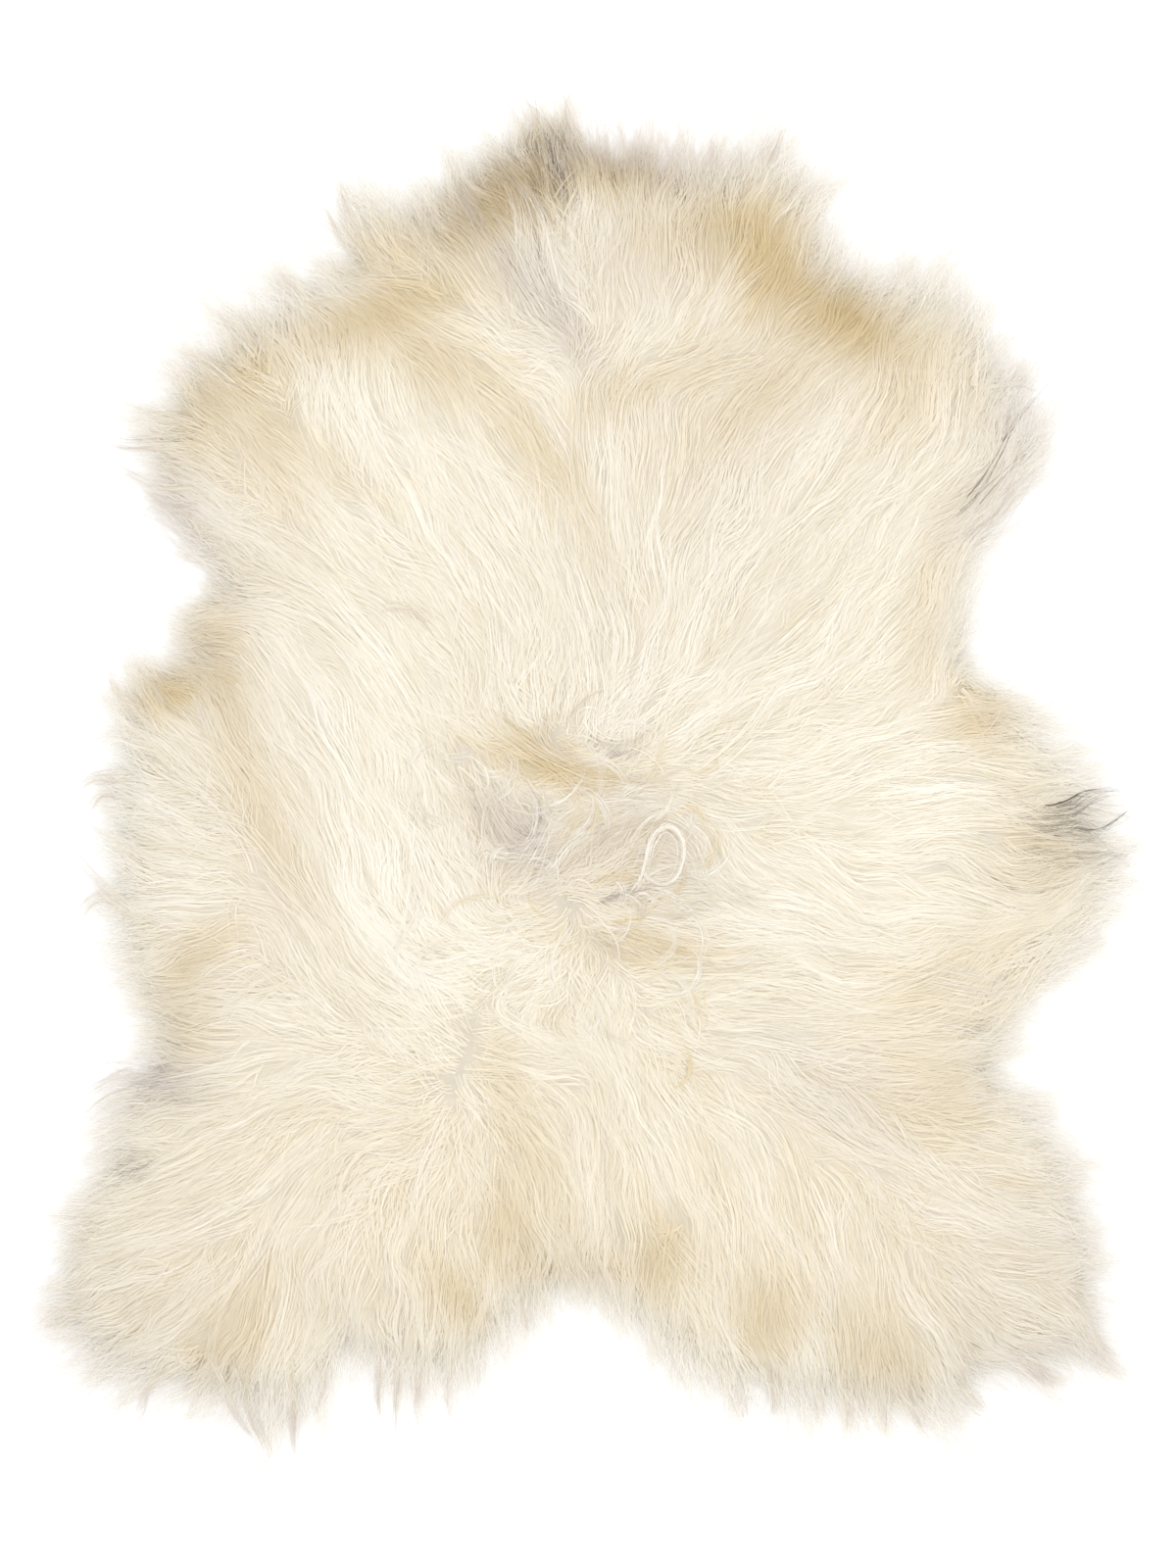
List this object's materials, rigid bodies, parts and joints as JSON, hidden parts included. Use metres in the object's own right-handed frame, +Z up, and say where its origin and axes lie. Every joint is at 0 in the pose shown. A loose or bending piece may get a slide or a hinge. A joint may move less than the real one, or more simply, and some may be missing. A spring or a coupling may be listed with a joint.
{
  "type": "sheepskin rug",
  "caption": "Whole long-haired sheepskin laid flat as a rug: tanned skin outline under a deep lumpy fleece with locks fringing its edge.",
  "frame": {"origin": "on the floor, under the middle of the wool", "axes": "+Z up out of the wool, +Y along the back towards the neck, +X towards the right flank seen from above"},
  "size_m": [0.9015, 1.0997, 0.0639],
  "materials": {
    "skin": "tanned suede side of a sheep's skin, matt",
    "wool": "long combed cream wool with amber roots and a few dark tufts"
  },
  "bodies": {
    "root": {"hide": "skin", "fleece": "wool"}
  },
  "joints": []
}
